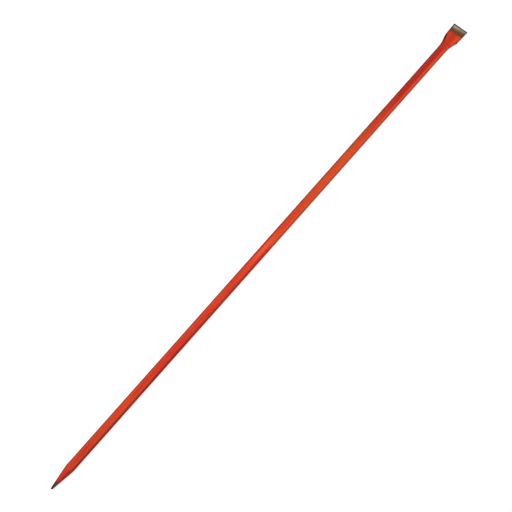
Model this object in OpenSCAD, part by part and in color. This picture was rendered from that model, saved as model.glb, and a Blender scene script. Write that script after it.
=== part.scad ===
// Digging bar: an octagonal steel bar forged to a pencil point at one end and to a flared chisel at the
// other, under a coat of enamel that leaves both working ends bare.
// It lies on one flat along X, with the chisel towards +X and the blade level. Lengths are millimetres.

/* [Bar] */
// Length of the bar from the tip of the point to the cutting edge
bar_length = 1750; // [1200:10:2000]
// Width of the octagonal stock across its flats
stock_flats = 25.4; // [20:0.1:32]
// How much rolling has taken off each corner of the octagon, along its radius
corner_break = 0.35; // [0.1:0.05:0.8]
// Length over which the rounded corners run out in front of the flare
corner_fade_length = 24; // [10:1:60]

/* [Chisel] */
// Width of the blade at its cutting edge
edge_width = 47; // [40:0.5:64]
// Width of the blade at its shoulders
shoulder_width = 43; // [38:0.5:60]
// Length of the blade from its shoulders to the cutting edge
blade_length = 40; // [30:1:60]
// Length of the flare from the shank to the shoulders
flare_length = 55; // [40:1:80]
// How far the flare is gathered towards the shoulders, where 1 leaves it even along its length
flare_gather = 1.6; // [1:0.1:2]
// How far into the flare the top and bottom flats start to fall
ramp_setback = 19.5; // [5:0.5:30]
// Length of the short, steep ramp that each flat falls by first
ramp_length = 9.5; // [5:0.5:16]
// How far each flat falls along its ramp
ramp_depth = 2; // [0.5:0.1:3]
// Thickness that the blade's forged faces come down to at the cutting edge, before grinding
forged_edge_thickness = 6.4; // [4:0.1:10]
// Length of the bevel ground along each side of the cutting edge
bevel_length = 4; // [2:0.1:10]
// Thickness of the blunt cutting edge
edge_thickness = 2; // [0.5:0.1:3.5]
// Angle by which the cutting edge is ground out of square
edge_skew = 4.5; // [0:0.5:10]
// Leg of the chamfer along the blade's long edges
blade_chamfer = 1.2; // [0.4:0.1:1.8]

/* [Point] */
// Length of the point from its tip to the middle of each scallop
point_length = 70; // [40:1:120]
// Radius of the worn round tip
tip_radius = 3; // [1:0.1:5]

/* [Enamel] */
// Thickness of the enamel coat
enamel_thickness = 0.25; // [0.1:0.05:0.6]
// Length of bare steel at the middle of the chisel
bare_edge_length = 24; // [10:1:36]
// Angle by which the paint line on the chisel lies out of square
paint_line_skew = 6; // [0:0.5:10]
// Length of bare steel at the point
bare_tip_length = 25; // [8:1:36]

/* [Hidden] */
$fn = 96;

// One overrun serves every cut and slab that has to pass the steel
overrun = 5;

// The octagon: half its width, the radius of its corners and the leg that each corner flat spans
half_flats = stock_flats / 2;
corner_radius = half_flats / cos(180 / 8);
corner_leg = half_flats * (2 - sqrt(2));
land_radius = corner_radius - corner_break;

// Place of the cutting edge's middle: its leading corner is at the bar's full length
edge_place = bar_length - edge_width / 2 * tan(edge_skew);

// Places along the chisel, as distances back from the middle of the cutting edge
flare_reach = blade_length + flare_length;
ramp_reach = flare_reach - ramp_setback;
wedge_reach = ramp_reach - ramp_length;

// Steps of the curved flare before the ramp, along the ramp and down to the shoulders
setback_steps = 5;
ramp_steps = 3;
wedge_steps = 9;

// Slabs of this span hold the whole blade
slab_span = 2 * max(edge_width, shoulder_width, stock_flats) + overrun;

// The ground bevels run on past the forged faces by the overrun
grind_length = bevel_length + overrun;
bevel_slope = (half_thickness(bevel_length) - edge_thickness / 2) / bevel_length;

// Slope of the straight cone that leaves the round tip and meets the flats at point_length
tip_to_scallop = norm([point_length - tip_radius, half_flats]);
cone_angle = atan2(half_flats, point_length - tip_radius) - asin(tip_radius / tip_to_scallop);
tip_steps = 10;

// Distances back from the cutting edge at which the chisel's section is set
function steps_between(from, to, count) = [for (i = [0:count - 1]) from + (to - from) * i / count];
stations = concat(
    steps_between(flare_reach, ramp_reach, setback_steps),
    steps_between(ramp_reach, wedge_reach, ramp_steps),
    steps_between(wedge_reach, blade_length, wedge_steps),
    [blade_length, 0]
);

// Share of the flare that is past: 0 on the shank and 1 on the blade
function flare_share(reach) = pow(lookup(reach, [[blade_length, 1], [flare_reach, 0]]), flare_gather);

// A curve that leaves 0 level and arrives at 1 level
function ease(share) = share * share * (3 - 2 * share);

// Half the thickness of the steel: level, down the steep ramp, then along the wedge to the edge
function half_thickness(reach) = lookup(reach, [
    [0, forged_edge_thickness / 2],
    [wedge_reach, half_flats - ramp_depth],
    [ramp_reach, half_flats]
]);

// Half the width of the steel: the stock, the curved flare, then the nearly straight sides of the blade
function half_width(reach) =
    reach > blade_length
        ? half_flats + (shoulder_width / 2 - half_flats) * ease(flare_share(reach))
        : lookup(reach, [[0, edge_width / 2], [blade_length, shoulder_width / 2]]);

// Leg of the corner flats: the octagon's own at the shank, running out to a small chamfer on the blade
function corner_leg_at(reach) = corner_leg + (blade_chamfer - corner_leg) * flare_share(reach);

// Distance of the corner flats from the axis, which follows from the other two pairs and their leg
function half_diagonal(reach) =
    (half_thickness(reach) + half_width(reach) - corner_leg_at(reach)) / sqrt(2);

// One pair of opposite flats, from before the tip to past the cutting edge. The halves are given at the
// stations, and turn is the way that the pair faces about the bar's axis.
module flat_pair(turn, halves) {
    last = len(stations) - 1;
    upper = concat(
        [[-overrun, halves[0]]],
        [for (i = [0:last]) [edge_place - stations[i], halves[i]]],
        [[bar_length + overrun, halves[last]]]
    );
    lower = [for (i = [len(upper) - 1:-1:0]) [upper[i].x, -upper[i].y]];
    rotate([90 + turn, 0, 0])
        linear_extrude(slab_span, center = true)
            polygon(concat(upper, lower));
}

// The round limit of the steel: tip, cone, rounded corners, then open wide enough for the blade
module round_limit(grow) {
    arc = [
        for (i = [0:tip_steps])
            let (turn = (90 - cone_angle) * i / tip_steps)
                tip_radius * [sin(turn), 1 - cos(turn)]
    ];
    cone_start = arc[tip_steps];
    cone_end = cone_start.y + (land_radius - cone_start.x) / tan(cone_angle);
    flare_start = edge_place - flare_reach;
    outline = concat(arc, [
        [land_radius, cone_end],
        [land_radius, flare_start - corner_fade_length],
        [corner_radius + corner_break, flare_start],
        [slab_span / 2, bar_length]
    ]);
    rotate([0, 90, 0])
        rotate_extrude()
            polygon(concat(
                [[0, bar_length], [0, 0]],
                [for (place = outline) [place.x + grow, place.y]]
            ));
}

// The steel as forged, or the same form grown outwards for the coat that covers it
module forging(grow = 0) {
    intersection() {
        flat_pair(0, [for (reach = stations) half_thickness(reach) + grow]);
        flat_pair(90, [for (reach = stations) half_width(reach) + grow]);
        flat_pair(45, [for (reach = stations) half_diagonal(reach) + grow]);
        flat_pair(-45, [for (reach = stations) half_diagonal(reach) + grow]);
        round_limit(grow);
    }
}

// What the wheel takes off round the cutting edge: all that lies outside its two bevels
module ground_away() {
    edge_half = edge_thickness / 2;
    bevel_half = edge_half + bevel_slope * grind_length;
    translate([edge_place, 0, 0])
        rotate([90, 0, edge_skew])
            linear_extrude(slab_span, center = true)
                polygon([
                    [-grind_length, bevel_half],
                    [-grind_length, slab_span / 2],
                    [slab_span / 2, slab_span / 2],
                    [slab_span / 2, -slab_span / 2],
                    [-grind_length, -slab_span / 2],
                    [-grind_length, -bevel_half],
                    [0, -edge_half],
                    [0, edge_half]
                ]);
}

// The stretch that is dipped in enamel, from the point's square paint line to the chisel's leaning one
module dipped_stretch() {
    paint_place = edge_place - bare_edge_length;
    lean = slab_span / 2 * tan(paint_line_skew);
    linear_extrude(slab_span, center = true)
        polygon([
            [bare_tip_length, -slab_span / 2],
            [paint_place + lean, -slab_span / 2],
            [paint_place - lean, slab_span / 2],
            [bare_tip_length, slab_span / 2]
        ]);
}

// Sets the bar down on its painted bottom flat, with its middle over the origin
module laid_down() {
    translate([-bar_length / 2, 0, half_flats + enamel_thickness])
        children();
}

module forged_bar() {
    color("slategray")
        laid_down()
            difference() {
                forging();
                ground_away();
            }
}

module paint_coat() {
    color("orangered")
        laid_down()
            difference() {
                intersection() {
                    forging(enamel_thickness);
                    dipped_stretch();
                }
                forging();
            }
}

forged_bar();
paint_coat();
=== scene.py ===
# %% [markdown]
# # A digging bar
# A digging bar breaks and pries hard ground. It is one octagonal steel bar: one end is drawn out to a
# pencil point, the other is flattened and flared into a chisel, and orange enamel covers all but the
# working ends.
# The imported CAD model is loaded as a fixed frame. Everything here is made around it, in metres, so a piece
# that is built at the CAD's own places needs no fitting.

import math
from types import SimpleNamespace

import bmesh
import bpy
from mathutils import Matrix, Quaternion, Vector, noise


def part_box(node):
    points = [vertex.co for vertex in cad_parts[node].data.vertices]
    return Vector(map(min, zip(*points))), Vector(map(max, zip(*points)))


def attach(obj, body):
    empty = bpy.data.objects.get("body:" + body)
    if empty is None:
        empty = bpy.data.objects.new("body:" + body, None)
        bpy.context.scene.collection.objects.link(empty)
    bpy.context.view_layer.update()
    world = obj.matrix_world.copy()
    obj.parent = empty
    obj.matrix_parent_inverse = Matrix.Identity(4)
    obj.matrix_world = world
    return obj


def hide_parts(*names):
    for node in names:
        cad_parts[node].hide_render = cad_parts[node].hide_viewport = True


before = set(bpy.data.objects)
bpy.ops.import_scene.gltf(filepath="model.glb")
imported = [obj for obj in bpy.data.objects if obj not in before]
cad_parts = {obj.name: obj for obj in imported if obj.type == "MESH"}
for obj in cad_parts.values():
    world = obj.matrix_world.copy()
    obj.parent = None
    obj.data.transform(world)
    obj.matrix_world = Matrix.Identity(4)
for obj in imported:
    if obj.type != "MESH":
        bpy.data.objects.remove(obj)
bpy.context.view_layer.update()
print("nodes", sorted(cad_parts))

# %% [markdown]
# ## Sizes
# Every size could be typed in, but then this script could drift away from the CAD model. The frame already
# knows the big sizes: the tip, the cutting edge, the stock and the enamel's thickness are read off the
# boxes of the two CAD nodes. Only the sizes that a box can't show are written down, in millimetres.

# %% The stock, from the boxes of the CAD nodes
MM = 0.001

steel_low, steel_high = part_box("forged_bar")
coat_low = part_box("paint_coat")[0]
tip_x = steel_low.x
axis_z = (steel_low.z + steel_high.z) / 2
half_flats = (steel_high.z - steel_low.z) / 2
enamel = steel_low.z - coat_low.z
edge_width = steel_high.y - steel_low.y
octagon_leg = half_flats * (2 - math.sqrt(2))
print(f"stock {2 * half_flats / MM:.1f} mm across flats, enamel {enamel / MM:.2f} mm")

# %% The chisel
edge_skew = math.radians(4.5)
edge_x = steel_high.x - edge_width / 2 * math.tan(edge_skew)
shoulder_width = 43 * MM
blade_length = 40 * MM
flare_length = 55 * MM
flare_gather = 1.6
# Later measuring put the ramp here, where it starts 6 mm further back than in the CAD model
ramp_setback = 13.5 * MM
ramp_length = 12 * MM
ramp_depth = 2 * MM
forged_edge = 6.4 * MM
blade_chamfer = 1.2 * MM
bevel_length = 4 * MM
edge_thickness = 2 * MM

flare_reach = blade_length + flare_length
ramp_reach = flare_reach - ramp_setback
wedge_reach = ramp_reach - ramp_length
print(f"cutting edge at x = {edge_x:.4f}, flare starts at x = {edge_x - flare_reach:.4f}")

# %% The point
point_length = 70 * MM
tip_radius = 3 * MM
tip_to_scallop = math.hypot(point_length - tip_radius, half_flats)
cone_angle = math.atan2(half_flats, point_length - tip_radius) - math.asin(tip_radius / tip_to_scallop)
cone_start = tip_radius * (1 - math.sin(cone_angle))
cone_start_radius = tip_radius * math.cos(cone_angle)
print(f"the cone opens by {math.degrees(cone_angle):.1f} degrees a side")

# %% [markdown]
# ## The section of the bar
# Along the bar the section changes from a circle at the tip, through the octagon of the shank, to the flat
# blade. Three separate solids would have to be joined, and the joins would show. A loft has none, but it
# needs each section to have the same number of corners, so one rule makes them all: a small circle is cut
# into eight arcs, and each arc is moved out to a corner of the section. The arcs become the soft ridges
# that a rolled bar has, and the gaps between them become the flats. `reach` is the distance back from the
# cutting edge.


# %% How the section changes along the chisel
def between(value, start, end, at_start, at_end):
    """A straight run from at_start to at_end while value goes from start to end, level beyond both."""
    share = min(max((value - start) / (end - start), 0), 1)
    return at_start + (at_end - at_start) * share


def half_thickness(reach):
    """Half the steel's thickness: level, down a short steep ramp, then along the wedge to the edge."""
    if reach > wedge_reach:
        return between(reach, wedge_reach, ramp_reach, half_flats - ramp_depth, half_flats)
    return between(reach, 0, wedge_reach, forged_edge / 2, half_flats - ramp_depth)


def flare_share(reach):
    """0 on the shank and 1 on the blade, gathered towards the shoulders."""
    return between(reach, flare_reach, blade_length, 0, 1) ** flare_gather


def half_width(reach):
    """Half the steel's width: the stock, the curved flare, then the nearly straight blade."""
    if reach < blade_length:
        return between(reach, 0, blade_length, edge_width / 2, shoulder_width / 2)
    share = flare_share(reach)
    eased = share * share * (3 - 2 * share)
    return half_flats + (shoulder_width / 2 - half_flats) * eased


def corner_leg(reach):
    """How far the corner flat cuts into the section: the octagon's own, running out to a chamfer."""
    return octagon_leg + (blade_chamfer - octagon_leg) * flare_share(reach)


print(f"{2 * half_thickness(blade_length) / MM:.1f} mm thick at the shoulders")

# %% Soft ridges, and a flare that is fuller on one side
shank_ridge = 1.6 * MM
blade_ridge = 0.9 * MM
flare_sway = 0.55 * MM


def ridge_radius(reach):
    """Radius of the soft ridges between the flats."""
    return shank_ridge + (blade_ridge - shank_ridge) * flare_share(reach)


def sway(reach):
    """The flare was spread under a hammer, and came out a little fuller on one side."""
    return flare_sway * math.sin(math.pi * flare_share(reach))


# %% One section as a closed loop of edges
CORNERS = 8
ARC_POINTS = 4
FLAT_CUTS = 9
CORNER_TURN = 2 * math.pi / CORNERS
ARC_STEP = CORNER_TURN / ARC_POINTS


def section_loop(bm, x, grow):
    """Eight arcs of a small circle, moved out to the corners of the bar's section at x."""
    ridge = bm.verts.layers.float["ridge"]
    made_before = len(bm.verts)
    reach = edge_x - x
    width, thickness, leg = half_width(reach), half_thickness(reach), corner_leg(reach)
    radius = ridge_radius(reach)
    facing_x = Matrix.Rotation(math.pi / 2, 4, "Y") @ Matrix.Rotation(ARC_STEP / 2, 4, "Z")
    circle = bmesh.ops.create_circle(
        bm, segments=CORNERS * ARC_POINTS, radius=radius + grow, matrix=facing_x
    )["verts"]
    arcs = [[] for _ in range(CORNERS)]
    for v in circle:
        v[ridge] = 1
        arcs[int(math.atan2(v.co.z, v.co.y) % (2 * math.pi) // CORNER_TURN)].append(v)
    setback = leg + radius * math.tan(CORNER_TURN / 2)
    for corner, arc in enumerate(arcs):
        turn = (corner + 0.5) * CORNER_TURN
        beside = abs(math.cos(turn)) > abs(math.sin(turn))
        out_y = width - radius if beside else width - setback
        out_z = thickness - setback if beside else thickness - radius
        y = math.copysign(out_y, math.cos(turn)) + sway(reach)
        z = math.copysign(out_z, math.sin(turn)) + axis_z
        bmesh.ops.translate(bm, verts=arc, vec=(x, y, z))
    home = {v: corner for corner, arc in enumerate(arcs) for v in arc}
    loop = dict.fromkeys(e for v in circle for e in v.link_edges)
    flats = [e for e in loop if home[e.verts[0]] != home[e.verts[1]]]
    for made in bmesh.ops.subdivide_edges(bm, edges=flats, cuts=FLAT_CUTS)["geom_inner"]:
        if isinstance(made, bmesh.types.BMVert):
            made[ridge] = 0
    return list(dict.fromkeys(e for v in bm.verts[made_before:] for e in v.link_edges))


print(CORNERS * (ARC_POINTS + FLAT_CUTS), "points in each section")

# %% [markdown]
# ## Places along the bar
# The skin is a loft: sections at chosen places along the bar, each bridged to the next. Even places would
# spend most of the faces on the plain shank. So they lie close together where the form changes, at the
# point's shoulder and along the flare, and far apart along the shank.


# %% Places of the sections
def steps(start, end, pitch):
    """Even steps from start up to, but without, end, about one pitch long."""
    count = max(round((end - start) / pitch), 1)
    return [start + (end - start) * i / count for i in range(count)]


scallop_before = 8 * MM
scallop_after = 12 * MM
edge_overrun = 8 * MM
tip_pitch = math.radians(12)
cone_pitch = 4 * MM
scallop_pitch = 1 * MM
shank_pitch = 18 * MM
flare_pitch = 1.3 * MM
blade_pitch = 2.5 * MM

scallop_start = tip_x + point_length - scallop_before
scallop_end = tip_x + point_length + scallop_after
flare_start = edge_x - flare_reach
shoulder = edge_x - blade_length

tip_turns = steps(0, math.pi / 2 - cone_angle, tip_pitch)
places = [tip_x + tip_radius * (1 - math.cos(turn)) for turn in tip_turns]
places += steps(tip_x + cone_start, scallop_start, cone_pitch)
places += steps(scallop_start, scallop_end, scallop_pitch)
places += steps(scallop_end, flare_start, shank_pitch)
places += steps(flare_start, shoulder, flare_pitch)
places += steps(shoulder, edge_x + edge_overrun, blade_pitch)
print(len(places), "sections")

# %% [markdown]
# ## The pencil point
# The point is a cone with a worn, round tip. A boolean cut could make it, and would leave slivers along the
# cut. Here whatever stands outside the cone is moved in onto it, as if the bar were turned. That keeps the
# loft's even faces, and leaves the scallops where the cone runs out on the flats. The real point is a touch
# off centre, so its scallops are uneven.

# %% The cone
point_offset = 0.2 * MM
scallop_fade = 0.4 * MM


def cone_radius(x):
    """Radius of the turned point at x."""
    along = x - tip_x
    if along < cone_start:
        return math.sqrt(max(tip_radius**2 - (tip_radius - along) ** 2, 0))
    return cone_start_radius + (along - cone_start) * math.tan(cone_angle)


def turn_point(bm, grow):
    """Moves what stands outside the cone in onto it, and marks it by how far it was moved."""
    ridge = bm.verts.layers.float["ridge"]
    cone = bm.verts.layers.float["cone"]
    for v in bm.verts:
        across = Vector((0, v.co.y - point_offset, v.co.z - axis_z))
        limit = cone_radius(v.co.x) + (grow if v.co.x > tip_x + cone_start else 0)
        excess = across.length - limit
        if excess > 0:
            v.co -= across.normalized() * excess
            v[cone] = between(excess, 0, scallop_fade, 0, 1)
            v[ridge] *= 1 - v[cone]


print(f"the bare tip is {2 * cone_radius(tip_x + tip_radius) / MM:.1f} mm thick behind its round end")

# %% [markdown]
# ## Hammer marks and creases
# A forged surface is never quite flat. A bump in the material would only change how it takes the light. The
# dents here are in the shape itself, so they show in the outline and in the mesh too. Noise gives
# the shallow dents. The two creases that the dies left across the flare each lie at a slant of their own,
# and are pressed in with a bell curve.

# %% The unevenness of a hammered surface
hammer_depth = 0.1 * MM
hammer_span = 34 * MM
crease_depth = 0.45 * MM
crease_width = 1.7 * MM

# Reach of each crease at the bar's middle, and how far that grows per metre towards the left
rear_crease = ramp_reach - 1.2 * MM
front_crease = wedge_reach + 0.3 * MM
crease_slants = {rear_crease: -0.32, front_crease: 0.09}


def hammer(bm):
    """Shallow dents along the bar, and the two creases that the forging dies left across the flare."""
    crease_layer = bm.verts.layers.float["crease"]
    for v in bm.verts:
        inwards = Vector((0, -v.co.y, axis_z - v.co.z))
        near_tip = between(v.co.x, tip_x, tip_x + point_length, 0, 1)
        dent = 0.5 + 0.5 * noise.noise(v.co / hammer_span)
        v.co += inwards.normalized() * hammer_depth * dent * near_tip
        reach = edge_x - v.co.x
        for crease, slant in crease_slants.items():
            away = (reach - crease - slant * v.co.y) / crease_width
            depth = math.exp(-away * away)
            v[crease_layer] = max(v[crease_layer], depth)
            v.co.z += math.copysign(crease_depth * depth, axis_z - v.co.z)


print("creases", [f"{reach / MM:.1f} mm" for reach in crease_slants], "behind the edge")

# %% [markdown]
# ## The whole skin
# The finishes need to know what they lie on, so each point of the skin carries four marks from 0 to 1: on a
# ridge, on the cone, in a crease, at a side. A painted mask would do, but it would have to be painted again
# whenever the shape changed, and these marks come with the shape. The same function makes the skin of the
# steel and, grown by the enamel's thickness, that of the coat.

# %% The marks and the loft
MARKS = ("ridge", "cone", "crease", "side")
side_band = 6.5 * MM
side_middle_share = 0.35
merge_distance = 0.001 * MM


def mark_sides(bm, grow):
    """Marks the ridges that stand out at the bar's two sides, for painted shade along the outline and a
    rougher enamel there.
    """
    side = bm.verts.layers.float["side"]
    for v in bm.verts:
        reach = edge_x - v.co.x
        outline = min(half_width(reach), cone_radius(v.co.x)) + grow
        inside = outline - abs(v.co.y - sway(reach))
        height = abs(v.co.z - axis_z)
        on_ridge = between(height, 0, half_flats - octagon_leg, side_middle_share, 1)
        v[side] = between(inside, 0, side_band, 1, 0) * on_ridge


def forged_skin(grow):
    """The whole skin of the forging as a bmesh, grown outwards by grow."""
    bm = bmesh.new()
    for name in MARKS:
        bm.verts.layers.float.new(name)
    loops = [section_loop(bm, x, grow) for x in places]
    for loop, following in zip(loops, loops[1:]):
        bmesh.ops.bridge_loops(bm, edges=loop + following)
    turn_point(bm, grow)
    mark_sides(bm, grow)
    hammer(bm)
    bmesh.ops.remove_doubles(bm, verts=bm.verts, dist=merge_distance)
    bmesh.ops.recalc_face_normals(bm, faces=bm.faces)
    return bm


def smooth(bm):
    """Shades every face as part of one rounded surface."""
    for face in bm.faces:
        face.smooth = True


# %% [markdown]
# ## The steel
# The edge is ground once the blade is forged, so it is cut last here too. A boolean with a wedge would do,
# but `bisect_plane` is nearer to what a wheel does: it takes off all that lies outside one plane, once for
# the blunt edge and once for the bevel on each side, and each cut is closed with one flat face. The ground
# faces stay flat shaded, with a finish of their own, and the forged skin is smooth.

# %% Grinding
# Place of the ground finish among the steel's two materials
GROUND = 1


def cut_off(bm, place, facing):
    """Takes off what lies outside a plane, and gives the edges of the cut."""
    everything = bm.verts[:] + bm.edges[:] + bm.faces[:]
    cut = bmesh.ops.bisect_plane(
        bm, geom=everything, plane_co=place, plane_no=facing, clear_outer=True, dist=merge_distance
    )["geom_cut"]
    return [made for made in cut if isinstance(made, bmesh.types.BMEdge)]


def grind(bm, place, facing):
    """Cuts off what a wheel would take, and closes the cut with a flat face of the ground finish."""
    rim = cut_off(bm, place, facing)
    face = bmesh.ops.contextual_create(bm, geom=rim)["faces"][0]
    face.smooth = False
    face.material_index = GROUND


# %% The forging with its ground edge
skewed = Matrix.Rotation(edge_skew, 3, "Z")
edge_middle = Vector((edge_x, 0, axis_z))
edge_facing = skewed @ Vector((1, 0, 0))
bevel_drop = half_thickness(bevel_length) - edge_thickness / 2

steel_bm = forged_skin(0)
smooth(steel_bm)
grind(steel_bm, edge_middle, edge_facing)
for side in (1, -1):
    bevel_foot = edge_middle + Vector((0, 0, side * edge_thickness / 2))
    grind(steel_bm, bevel_foot, skewed @ Vector((bevel_drop, 0, side * bevel_length)).normalized())
bmesh.ops.recalc_face_normals(steel_bm, faces=steel_bm.faces)
print("steel", len(steel_bm.faces), "faces")

# %% [markdown]
# ## The enamel coat
# The coat could be a colour on the steel, but real enamel stands proud of the steel and ends in a rim. So it
# is a piece of its own: the same skin, grown by the enamel's thickness and cut off at the two paint lines. A
# dipped edge is never a ruled line, so the rim wanders a little. `solidify` then gives the skin its
# thickness, towards the steel. It stops a hair short of it, because two surfaces in one place would flicker
# through each other.

# %% The coat and its paint lines
bare_tip_length = 25 * MM
bare_edge_length = 24 * MM
paint_skew = math.radians(6)
rim_wander = 0.6 * MM
rim_span = 9 * MM
coat_clearance = 0.03 * MM

point_line = Vector((tip_x + bare_tip_length, 0, axis_z))
chisel_line = Vector((edge_x - bare_edge_length, 0, axis_z))
point_facing = Vector((-1, 0, 0))
chisel_facing = Matrix.Rotation(paint_skew, 3, "Z") @ Vector((1, 0, 0))

coat_bm = forged_skin(enamel)
cut_off(coat_bm, point_line, point_facing)
cut_off(coat_bm, chisel_line, chisel_facing)
for v in coat_bm.verts:
    if v.is_boundary:
        v.co.x += rim_wander * noise.noise(v.co / rim_span)
bmesh.ops.solidify(coat_bm, geom=coat_bm.faces[:], thickness=enamel - coat_clearance)
smooth(coat_bm)
print("coat", len(coat_bm.faces), "faces")

# %% [markdown]
# ## A way to write materials
# A material is a web of nodes, and it gets long when each node is placed by hand. This small class wraps
# one socket, so that sums on it are written as Python and add their own Math nodes, and one method adds any
# other kind of node.


# %% Sockets that take part in sums
class Flow:
    """A value on its way through a material's nodes."""

    def __init__(self, tree, socket=None):
        self.tree = tree
        self.socket = socket

    def node(self, kind, settings, values, out=0):
        """Adds a node: its settings first, then the values or links of its sockets."""
        made = self.tree.nodes.new(kind)
        for name, setting in settings.items():
            if name == "stops":
                ramp = made.color_ramp.elements
                while len(ramp) < len(setting):
                    ramp.new(1)
                for stop, (place, colour) in zip(ramp, setting):
                    stop.position = place
                    stop.color = (*colour, 1)
            else:
                setattr(made, name, setting)
        for name, value in values.items():
            if isinstance(value, Flow):
                self.tree.links.new(value.socket, made.inputs[name])
            else:
                made.inputs[name].default_value = value
        return Flow(self.tree, made.outputs[out])

    def into(self, shader, name):
        """Feeds this value to one socket of a shader."""
        self.tree.links.new(self.socket, shader.inputs[name])

    def sum(self, operation, first, second):
        """Adds a Math node."""
        return self.node("ShaderNodeMath", {"operation": operation}, {0: first, 1: second})

    def __add__(self, other):
        return self.sum("ADD", self, other)

    def __sub__(self, other):
        return self.sum("SUBTRACT", self, other)

    def __rsub__(self, other):
        return self.sum("SUBTRACT", other, self)

    def __mul__(self, other):
        return self.sum("MULTIPLY", self, other)

    def __truediv__(self, other):
        return self.sum("DIVIDE", self, other)

    def __rtruediv__(self, other):
        return self.sum("DIVIDE", other, self)

    def __abs__(self):
        return self.node("ShaderNodeMath", {"operation": "ABSOLUTE"}, {0: self})

    __radd__ = __add__
    __rmul__ = __mul__

    def mix(self, first, second):
        """A blend of two colours, with this value as the share of the second."""
        # A Mix node has sockets for each kind of value: 6 and 7 take its two colours, and 2 gives the blend
        colour_sockets = {0: self, 6: first, 7: second}
        return self.node("ShaderNodeMix", {"data_type": "RGBA"}, colour_sockets, out=2)

    def window(self, start, end):
        """0 below start and 1 above end, eased in between."""
        settings = {"interpolation_type": "SMOOTHSTEP"}
        return self.node("ShaderNodeMapRange", settings, {"Value": self, "From Min": start, "From Max": end})

    def below(self, start, end):
        """1 below start and 0 above end, eased in between."""
        return 1 - self.window(start, end)

    def band(self, start, full, fading, end):
        """0 outside start and end, and 1 from full to fading."""
        return self.window(start, full) * self.below(fading, end)


# %% What a material reads on the bar
def new_material(name):
    """A material with one Principled BSDF, the start of its sums and the object's own coordinates."""
    material = bpy.data.materials.new(name)
    material.use_nodes = True
    shader = material.node_tree.nodes["Principled BSDF"]
    start = Flow(material.node_tree)
    place = start.node("ShaderNodeTexCoord", {}, {}, out="Object")
    return material, shader, start, place


def measure(start, place, axis):
    """How far a place lies along the bar, X, across it, Y, or up, Z."""
    return start.node("ShaderNodeSeparateXYZ", {}, {"Vector": place}, out=axis)


def mark(start, name):
    """One of the marks that the skin's points carry."""
    return start.node("ShaderNodeAttribute", {"attribute_name": name}, {}, out="Fac")


def grain(start, place, waves, detail=2.0, roughness=0.5):
    """Noise from 0 to 1, with so many waves a metre along each axis."""
    stretched = start.node("ShaderNodeMapping", {}, {"Vector": place, "Scale": waves})
    sockets = {"Vector": stretched, "Scale": 1.0, "Detail": detail, "Roughness": roughness}
    return start.node("ShaderNodeTexNoise", {}, sockets)


def behind_line(start, place, line, facing):
    """Distance behind a plane, in metres."""
    offset = start.node("ShaderNodeVectorMath", {"operation": "SUBTRACT"}, {0: tuple(line), 1: place})
    sockets = {0: offset, 1: tuple(facing)}
    return start.node("ShaderNodeVectorMath", {"operation": "DOT_PRODUCT"}, sockets, out="Value")


# %% [markdown]
# ## Orange enamel: its tone, with painted light and shade
# The bar was dipped and hung to dry, so the enamel's tone drifts along the bar. A picture of it would have
# to be stretched over the bar. Here each tone is a mask from 0 to 1, made from the place along and across
# the
# bar, that mixes in one more colour: a warm stretch past the middle, painted shade on the right flat of the
# point's half and on the top and left up to the flare, and painted light on the left flat of the point's
# half and on the right strip before the flare. Noise gives only the fine drift.

# %% Where a point of the enamel lies
thin_rim = 3.2 * MM
DRIFT_WAVES = (9, 60, 60)
MOTTLE_WAVES = (120, 160, 160)
RAGGED_WAVES = (150, 300, 300)


def read_enamel(start, place):
    """What the enamel's layers are made from: places on the bar, the skin's marks and the shared noise."""
    here = SimpleNamespace(start=start, place=place)
    here.along, here.across, here.up = (measure(start, place, axis) for axis in "XYZ")
    here.ridge, here.cone, here.crease, here.side = (mark(start, name) for name in MARKS)
    here.drift = grain(start, place, DRIFT_WAVES, detail=3)
    here.mottle = grain(start, place, MOTTLE_WAVES)
    here.ragged = grain(start, place, RAGGED_WAVES) * thin_rim
    return here


# %% Tones along the bar, and painted light and shade from flat to flat
ENAMEL_DEEP = (0.66, 0.028, 0.006, 1)
ENAMEL_BRIGHT = (0.74, 0.047, 0.008, 1)
# ENAMEL_WARM is painted light on the lit flats, and also warms a stretch past the middle. ENAMEL_DARK and
# ENAMEL_SHADE are painted shade.
ENAMEL_WARM = (0.71, 0.078, 0.009, 1)
ENAMEL_DARK = (0.58, 0.014, 0.005, 1)
ENAMEL_SHADE = (0.52, 0.0135, 0.006, 1)

# Places along the bar, in metres from its middle, and across it, where the right is the negative side.
# Four are where a tone starts, is full, starts to fade and ends, and two the start and end of a change.
warm_stretch = (-0.05, 0.3, 0.38, 0.6)
shaded_stretch = (0.36, 0.62, flare_start - 1 * MM, flare_start + 17 * MM)
point_half_end = (-0.25, 0.1)
dark_stretch_end = (0, 0.03)
dark_stretch_eases = (-0.5, 0)
right_flat_end = (-8.5 * MM, -5.5 * MM)
right_strip_end = (-6.5 * MM, -3.5 * MM)
left_flat_start = (4.5 * MM, 7.5 * MM)

drift_range = (0.38, 0.62)
drift_share = 0.85
warm_share = 0.8
dark_share = 0.6
dark_eased_share = 0.15
shade_share = 0.9
left_warm_share = 0.4
right_warm_share = 0.5


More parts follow.
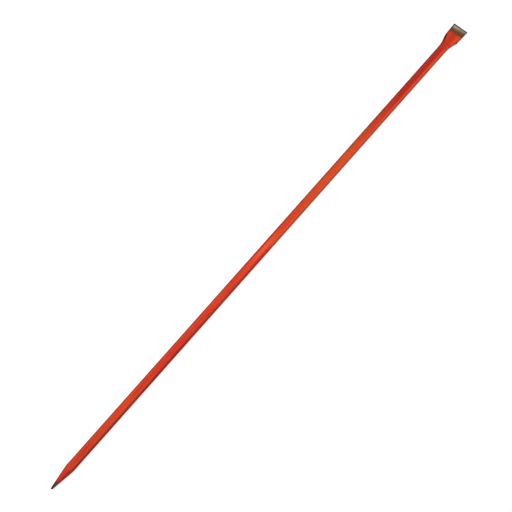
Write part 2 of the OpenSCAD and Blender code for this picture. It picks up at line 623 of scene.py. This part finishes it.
def enamel_tone(here):
    """The paint's tone, with painted light and shade on some flats, before the shape and the wear change it.
    """
    tone = (here.drift * drift_share + here.mottle * (1 - drift_share)).window(*drift_range)
    colour = tone.mix(ENAMEL_DEEP, ENAMEL_BRIGHT)
    colour = (here.along.band(*warm_stretch) * warm_share).mix(colour, ENAMEL_WARM)
    # Painted shade on the right flat of the point's half
    dark = dark_share - here.along.window(*dark_stretch_eases) * dark_eased_share
    dark = here.along.below(*dark_stretch_end) * dark
    colour = (dark * here.across.below(*right_flat_end)).mix(colour, ENAMEL_DARK)
    # Painted shade on the top and left of the stretch before the flare
    shaded = here.along.band(*shaded_stretch)
    right_strip = here.across.below(*right_strip_end)
    colour = (shaded * (1 - right_strip) * shade_share).mix(colour, ENAMEL_SHADE)
    # Painted light on the left flat of the point's half and on the right strip before the flare
    left_flat = here.along.below(*point_half_end) * here.across.window(*left_flat_start)
    warm = left_flat * left_warm_share + shaded * right_strip * right_warm_share
    return warm.mix(colour, ENAMEL_WARM)


# %% [markdown]
# ## Orange enamel: on the point, the ridge and the blade
# On the turned point the enamel is redder, and painted shade darkens its right half. Painted highlights lie
# on the right ridge behind the point, on the right of the blade, and in a patch at the bar's middle. Lamps
# alone would change the tone more slowly along the bar, so this light and shade is painted into the colour,
# as masks like those above.

# %% Redder place, painted shade and painted highlights
ENAMEL_RED = (0.68, 0.03, 0.013, 1)
# The colour of the painted highlights below
ENAMEL_PAINTED_LIGHT = (0.86, 0.09, 0.018, 1)

cone_right_end = (-3.4 * MM, -0.8 * MM)
blade_start = (flare_start - 13 * MM, flare_start + 22 * MM)
blade_right_end = (-13 * MM, -5 * MM)
right_ridge_strip = (-10 * MM, -7 * MM, -4.5 * MM, -2.5 * MM)
right_ridge_end = (-0.55, -0.35)
top_flat_start = (-5 * MM, -3.5 * MM)
top_patch = (-0.1, 0, 0, 0.09)
right_patch = (0.005, 0.03, 0.1, 0.17)

cone_red_share = 0.7
cone_dark_share = 0.8
blade_light_share = 0.7
ridge_light_share = 0.6
right_patch_share = 0.5


def enamel_on_shapes(here, colour):
    """Redder on the point, painted shade on its right, and painted highlights in three places."""
    colour = (here.cone * cone_red_share).mix(colour, ENAMEL_RED)
    # Painted shade on the right half of the cone
    cone_right = here.cone * here.across.below(*cone_right_end)
    colour = (cone_right * cone_dark_share).mix(colour, ENAMEL_DARK)
    # Painted highlights: the blade's right, the right ridge behind the point, and a patch at the middle
    blade_right = here.along.window(*blade_start) * here.across.below(*blade_right_end)
    right_ridge = here.across.band(*right_ridge_strip) * here.along.below(*right_ridge_end)
    right_ridge = right_ridge * (1 - here.cone)
    on_top = here.across.window(*top_flat_start)
    patch = here.along.band(*top_patch) * on_top * here.across.below(*left_flat_start)
    patch = patch + here.along.band(*right_patch) * (1 - on_top) * right_patch_share
    light = blade_right * blade_light_share + right_ridge * ridge_light_share + patch
    return light.mix(colour, ENAMEL_PAINTED_LIGHT)


# %% [markdown]
# ## Orange enamel: painted shade and scuffs
# Painted shade darkens the two sides, a little more the left one, where the rounded ridges turn from the
# light, and the creases. Use shows as fine scuffs that run along the bar, because that is how hands and the
# ground slide on it. The skin's own marks place the painted shade, and noise that is stretched along the bar
# makes the scuffs.

# %% Painted shade and scuffs
# A deep painted shade, for the sides and the creases
ENAMEL_DEEP_SHADE = (0.14, 0.014, 0.006, 1)
ENAMEL_SCUFFED = (0.60, 0.11, 0.045, 1)
SCUFF_WAVES = (18, 1300, 1300)

left_start = (0, 4 * MM)
side_shade_share = 0.85
left_shade_share = 0.2
crease_dark_share = 0.8
crease_shade_share = 0.4
scuff_range = (0.54, 0.66)
scuffed_drift = (0.4, 0.6)
scuff_share = 0.4


def enamel_painted_shade(here, colour):
    """Painted shade along the sides and in the creases."""
    left_side = here.side * here.across.window(*left_start)
    side_shade = here.side * here.side * side_shade_share + left_side * left_shade_share
    colour = side_shade.mix(colour, ENAMEL_DEEP_SHADE)
    # Painted shade in the creases, in two steps
    colour = (here.crease * crease_dark_share).mix(colour, ENAMEL_DARK)
    return (here.crease * crease_shade_share).mix(colour, ENAMEL_DEEP_SHADE)


def scuff_mask(here):
    """Fine lines along the bar, in some places only."""
    lines = grain(here.start, here.place, SCUFF_WAVES).window(*scuff_range)
    return lines * here.drift.window(*scuffed_drift)


# %% [markdown]
# ## Orange enamel: nicks, dark marks and rims
# On the ridges the enamel is nicked, and at the shoulders of the blade there are two dark marks on the upper
# sides. Both could be cut into the coat, but their ragged edges are finer than its faces, so masks give them
# the colour of dark steel. Where the coat ends it is thin, and the steel shows through it as a dark rim.

# %% Nicks and dark marks
CHIP_STEEL = (0.04, 0.011, 0.008, 1)
NICK_WAVES = (240, 560, 560)
nick_range = (0.57, 0.6)
nicked_drift = (0.42, 0.6)

# Each dark mark: its reach, its length, 1 for the left or -1 for the right, and the side mark that it starts
# at
SHOULDER_MARKS = ((55 * MM, 21 * MM, 1, 0.15), (48 * MM, 4 * MM, -1, 0.42))
shoulder_mark_top = (axis_z - 1 * MM, axis_z + 2 * MM)
shoulder_mark_side_start = (0, 2 * MM)
shoulder_mark_fade_share = 0.15
fray_share = 0.8
fray_start = (0, 0.1)


def chip_mask(here):
    """Nicks along the ridges, and the two dark marks on the upper half of the bar's sides, at the shoulders.
    """
    nicks = grain(here.start, here.place, NICK_WAVES, detail=4, roughness=0.6)
    chips = (nicks * here.ridge).window(*nick_range) * here.drift.window(*nicked_drift)
    upper = here.up.window(*shoulder_mark_top)
    frayed = here.side + (nicks - 0.5) * fray_share * here.side.window(*fray_start)
    for reach, length, way, least_side in SHOULDER_MARKS:
        off = abs(here.along - (edge_x - reach))
        near = (off + here.ragged).below(length / 2, length / 2 + thin_rim)
        beside = (here.across * way).window(*shoulder_mark_side_start)
        beside = beside * frayed.window(least_side, least_side + shoulder_mark_fade_share)
        chips = chips + near * beside * upper
    return chips


# %% Thin rims
ENAMEL_THIN = (0.21, 0.03, 0.008, 1)
full_rim = thin_rim * 0.8
ragged_share = 0.5

# Each rim: its paint line, the way that faces, how far the coat lets the steel show, and where that ends
RIMS = (
    (chisel_line, chisel_facing, 0.9, thin_rim * 2.8),
    (point_line, point_facing, 0.5, thin_rim * 2.4),
)


def enamel_rims(here, colour):
    """The dark rims along the two paint lines."""
    for line, facing, share, rim_end in RIMS:
        behind = behind_line(here.start, here.place, line, facing)
        thin = (behind + here.ragged * ragged_share).below(full_rim, rim_end)
        colour = (thin * share).mix(colour, ENAMEL_THIN)
    return colour


# %% [markdown]
# ## Orange enamel: all its layers
# The layers go on one over another: paint, painted shade, scuffs, chips and last the thin rims. Fresh enamel
# is glossy, and it is duller where it is worn. Its faint orange peel is too fine for the coat's long faces,
# so it is a bump and not part of the shape.

# %% Enamel material
gloss_roughness = 0.24
mottle_roughness = 0.16
scuff_roughness = 0.12
chip_roughness = 0.3
side_roughness = 0.4
ENAMEL_SPECULAR = 0.3

PEEL_WAVES = (420, 420, 420)
SAG_WAVES = (40, 70, 70)
peel_share = 0.3
chip_depth_share = 0.8
ENAMEL_BUMP = {"Strength": 0.12, "Distance": 0.3 * MM}


def enamel_material():
    """The coat's whole finish."""
    material, shader, start, place = new_material("orange_enamel")
    here = read_enamel(start, place)
    scuffs = scuff_mask(here)
    chips = chip_mask(here)
    colour = enamel_on_shapes(here, enamel_tone(here))
    colour = enamel_painted_shade(here, colour)
    colour = (scuffs * scuff_share).mix(colour, ENAMEL_SCUFFED)
    colour = chips.mix(colour, CHIP_STEEL)
    enamel_rims(here, colour).into(shader, "Base Color")
    rough = gloss_roughness + here.mottle * mottle_roughness + scuffs * scuff_roughness
    rough = rough + chips * chip_roughness + here.side * side_roughness
    rough.into(shader, "Roughness")
    peel = grain(start, place, PEEL_WAVES, detail=1)
    relief = peel * peel_share + grain(start, place, SAG_WAVES, detail=1) - chips * chip_depth_share
    start.node("ShaderNodeBump", {}, {**ENAMEL_BUMP, "Height": relief}).into(shader, "Normal")
    shader.inputs["Specular IOR Level"].default_value = ENAMEL_SPECULAR
    return material


orange_enamel = enamel_material()
print(orange_enamel.name, len(orange_enamel.node_tree.nodes), "nodes")

# %% [markdown]
# ## Bare steel
# The bare chisel was heated to be hardened. Next to the enamel the steel is browned, and towards the edge a
# wheel has brought it back to grey in fine lengthwise streaks. The bevels are painted dark, standing in for
# the reflection of dark surroundings. The point keeps its dark forge scale, worn lighter near the enamel.
# One material does for both ends, because a colour ramp can follow the distance from each. The ground faces
# take a darker copy of it, the painted dark, and painted shade darkens the two sides, more so the left one.

# %% Tints of the steel at both ends
CHISEL_TINTS = (
    (0.0, (0.42, 0.355, 0.255)),
    (0.18, (0.42, 0.355, 0.255)),
    (0.34, (0.30, 0.22, 0.125)),
    (0.52, (0.205, 0.11, 0.042)),
    (0.74, (0.17, 0.062, 0.015)),
    (1.0, (0.19, 0.05, 0.012)),
)
TIP_TINTS = (
    (0.0, (0.008, 0.008, 0.007)),
    (0.30, (0.015, 0.014, 0.011)),
    (0.50, (0.05, 0.048, 0.03)),
    (0.82, (0.10, 0.08, 0.05)),
    (0.98, (0.17, 0.05, 0.026)),
)
tip = Vector((tip_x, 0, axis_z))

# The grey reaches further back on the left, and the scale is worn sooner on the right, per metre across
grey_slant = -0.14
grey_setback = 2 * MM
wear_slant = 70
chisel_unevenness = 0.3
tip_unevenness = 0.4
chisel_end = (0.5, 0.6)
STREAK_WAVES = (60, 900, 900)
PATCH_WAVES = (160, 260, 260)


def read_steel(start, place):
    """What the steel's layers are made from."""
    here = SimpleNamespace(start=start, place=place)
    here.streaks = grain(start, place, STREAK_WAVES, detail=3, roughness=0.65)
    here.patches = grain(start, place, PATCH_WAVES, detail=3)
    here.across = measure(start, place, "Y")
    here.side = mark(start, "side")
    here.from_edge = behind_line(start, place, edge_middle, edge_facing)
    here.from_tip = behind_line(start, place, tip, point_facing)
    return here


def steel_tint(here):
    """Browned to grey along the chisel, and dark with scale at the point."""
    uneven = (here.patches - 0.5) * chisel_unevenness + (here.streaks - 0.5) * chisel_unevenness
    grey_sooner = here.across * grey_slant - grey_setback
    heat = (here.from_edge + grey_sooner) / bare_edge_length + uneven
    chisel = here.start.node("ShaderNodeValToRGB", {"stops": CHISEL_TINTS}, {"Fac": heat})
    worn = here.from_tip / bare_tip_length - here.across * wear_slant
    worn = worn + (here.patches - 0.5) * tip_unevenness
    point = here.start.node("ShaderNodeValToRGB", {"stops": TIP_TINTS}, {"Fac": worn})
    return here.from_tip.window(*chisel_end).mix(point, chisel)


# %% Steel materials
# The colour of dull steel in the streaks, and of painted shade on the sides and beside the bevel
STEEL_DULL_AND_SHADE = (0.02, 0.018, 0.015, 1)
STEEL_METALLIC = 0.85
STEEL_BUMP = {"Strength": 0.3, "Distance": 0.1 * MM}

dull_streaks = (0.45, 0.7)
dull_streak_share = 0.25
# Painted shade on the two sides, more on the left, and a painted dark line beside the bevel
steel_side_shade = (0.45, 0.75)
steel_side_shade_share = 0.6
steel_left_shade = (0.25, 0.55)
steel_left_shade_start = (0, 5 * MM)
steel_left_shade_share = 0.7
bevel_shade_end = (bevel_length * 1.1, bevel_length * 1.6)
bevel_shade_share = 0.7
streak_roughness = 0.25


def dull_and_shade_mask(here):
    """Dull streaks, and painted shade on the two sides, more so the left one, and in a line beside the
    bevel.
    """
    left_edge = here.side.window(*steel_left_shade) * here.across.window(*steel_left_shade_start)
    dull_and_shade = here.streaks.window(*dull_streaks) * dull_streak_share
    dull_and_shade = dull_and_shade + here.side.window(*steel_side_shade) * steel_side_shade_share + left_edge * steel_left_shade_share
    return dull_and_shade + here.from_edge.below(*bevel_shade_end) * bevel_shade_share


def steel_material(name, painted_darkness, roughness):
    """Bare steel, tinted along both ends of the bar, and painted darker all over by the given share, as on
    the ground faces, where it stands in for the reflection of dark surroundings.
    """
    material, shader, start, place = new_material(name)
    here = read_steel(start, place)
    colour = (dull_and_shade_mask(here) + painted_darkness).mix(steel_tint(here), STEEL_DULL_AND_SHADE)
    colour.into(shader, "Base Color")
    (roughness + here.streaks * streak_roughness).into(shader, "Roughness")
    relief = here.streaks + here.patches
    start.node("ShaderNodeBump", {}, {**STEEL_BUMP, "Height": relief}).into(shader, "Normal")
    shader.inputs["Metallic"].default_value = STEEL_METALLIC
    print(name, len(material.node_tree.nodes), "nodes")
    return material


forged_steel = steel_material("forged_steel", painted_darkness=0.0, roughness=0.38)
# The ground faces are painted fully dark, as a painted reflection of dark surroundings
ground_steel = steel_material("ground_steel", painted_darkness=1.0, roughness=0.30)

# %% [markdown]
# ## Dress the bar
# The two meshes become objects that take the places of the two CAD nodes. An object could be moved and
# turned into place, but patterns on object coordinates would then move with it. The points already lie where
# the CAD has them, so both objects stay at the origin. Both ride on the bar's one body.


# %% Two finished pieces
def finish_piece(bm, name, materials, node):
    """Turns a bmesh into an object that rides on the bar and stands for its CAD node."""
    mesh = bpy.data.meshes.new(name)
    bm.to_mesh(mesh)
    bm.free()
    piece = bpy.data.objects.new(name, mesh)
    bpy.context.collection.objects.link(piece)
    for material in materials:
        mesh.materials.append(material)
    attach(piece, "root")
    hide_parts(node)
    print(name, len(mesh.vertices), "points", len(mesh.polygons), "faces")


finish_piece(steel_bm, "forged_bar_skin", [forged_steel, ground_steel], "forged_bar")
finish_piece(coat_bm, "enamel_coat", [orange_enamel], "paint_coat")

# %% [markdown]
# ## Floor and light
# The bar lies on a white sheet. More light would make any floor white, but it would wash out the bar too.
# So the floor is grey, which keeps the bar's soft shadow, and it glows by itself where the camera or a
# reflection sees it: a little less near the bar, where the lamps add to it, and rising to white further out.
# A large soft lamp hangs over the bar and leans towards the point. Two low ones stand on the right, one
# beside the shank and one beyond the chisel. Both face towards the chisel's end, which helps to make the
# right flat dark at the point and bright at the chisel. None of them is mirrored, so the gloss shows the
# sheet. The world, too, is white to the eye and gives only a little light.

# %% Floor
FLOOR_SIZE = 12
FLOOR_COLOUR = (0.32, 0.32, 0.32, 1)
FLOOR_ROUGHNESS = 0.9
FLOOR_GLOW = (0.84, 0.84, 0.84, 1)
FLOOR_GLOW_FAR = (1, 1, 1, 1)
NO_GLOW = (0, 0, 0, 1)
glow_rise = (0.95, 2.0)


def seen_rays(tree):
    """1 for what the camera, a reflection or a clear surface sees, and 0 for light that falls on things."""
    path = tree.nodes.new("ShaderNodeLightPath")
    camera_ray, glossy_ray, clear_ray = (
        Flow(tree, path.outputs[name]) for name in ("Is Camera Ray", "Is Glossy Ray", "Is Transmission Ray")
    )
    return camera_ray + glossy_ray + clear_ray


def sheet_material():
    """A grey sheet that glows white to the eye."""
    material, shader, start, place = new_material("white_sheet")
    shader.inputs["Base Color"].default_value = FLOOR_COLOUR
    shader.inputs["Roughness"].default_value = FLOOR_ROUGHNESS
    shader.inputs["Specular IOR Level"].default_value = 0.0
    shader.inputs["Emission Strength"].default_value = 1.0
    from_middle = start.node("ShaderNodeVectorMath", {"operation": "LENGTH"}, {0: place}, out="Value")
    glow = from_middle.window(*glow_rise).mix(FLOOR_GLOW, FLOOR_GLOW_FAR)
    seen_rays(start.tree).mix(NO_GLOW, glow).into(shader, "Emission Color")
    return material


floor_bm = bmesh.new()
bmesh.ops.create_grid(floor_bm, x_segments=1, y_segments=1, size=FLOOR_SIZE)
floor_mesh = bpy.data.meshes.new("floor")
floor_bm.to_mesh(floor_mesh)
floor_bm.free()
floor_mesh.materials.append(sheet_material())
floor = bpy.data.objects.new("floor", floor_mesh)
bpy.context.collection.objects.link(floor)
print("floor", 2 * FLOOR_SIZE, "m wide")

# %% World and lamps
AMBIENT = 0.06
WHITE = (1, 1, 1, 1)

world = bpy.data.worlds.new("studio")
world.use_nodes = True
bpy.context.scene.world = world
background = world.node_tree.nodes["Background"]
background.inputs["Color"].default_value = WHITE
strength = AMBIENT + seen_rays(world.node_tree) * (1 - AMBIENT)
strength.into(background, "Strength")


def soft_lamp(name, place, aim, size, power):
    """A square lamp that faces a place on the bar's line, hidden from the camera and from the gloss."""
    lamp = bpy.data.lights.new(name, "AREA")
    lamp.shape = "SQUARE"
    lamp.size = size
    lamp.energy = power
    holder = bpy.data.objects.new(name, lamp)
    bpy.context.collection.objects.link(holder)
    holder.location = place
    holder.rotation_mode = "QUATERNION"
    holder.rotation_quaternion = (Vector(aim) - Vector(place)).to_track_quat("-Z", "Y")
    holder.visible_camera = False
    holder.visible_glossy = False
    print(name, power, "W")


soft_lamp("lamp_over_bar", place=(-0.19, 0.6, 2.06), aim=(-1.07, 0, 0), size=1.2, power=45)
soft_lamp("lamp_beside_shank", place=(0.3, -1.1, 0.32), aim=(1.5, 0, 0), size=0.6, power=7.6)
soft_lamp("lamp_beyond_chisel", place=(1.68, -0.6, 0.32), aim=(1.0, 0, 0), size=0.6, power=6.5)

# %% [markdown]
# ## Camera
# The photograph was taken from above the bar, a little towards the point and to one side, with the picture
# turned so that the bar climbs across it. Three turns would be hard to guess one by one. So the camera is
# set by its place, by what it aims at and by the bar's slant in the picture.

# %% Camera
camera_place = Vector((-0.362, -0.254, 2.72))
camera_aim = Vector((-0.0293, 0.0051, axis_z))
bar_slant = math.radians(48.37)
camera_lens = 68.53

forward = (camera_aim - camera_place).normalized()
bar_way = Vector((1, 0, 0))
bar_way = (bar_way - bar_way.dot(forward) * forward).normalized()
right = Quaternion(-forward, -bar_slant) @ bar_way
up = (-forward).cross(right)
camera_data = bpy.data.cameras.new("camera")
camera_data.lens = camera_lens
camera = bpy.data.objects.new("camera", camera_data)
bpy.context.collection.objects.link(camera)
camera.matrix_world = Matrix.Translation(camera_place) @ Matrix((right, up, -forward)).transposed().to_4x4()
bpy.context.scene.camera = camera
bpy.context.scene.view_settings.view_transform = "Standard"
print("camera", [round(value, 3) for value in camera_place])
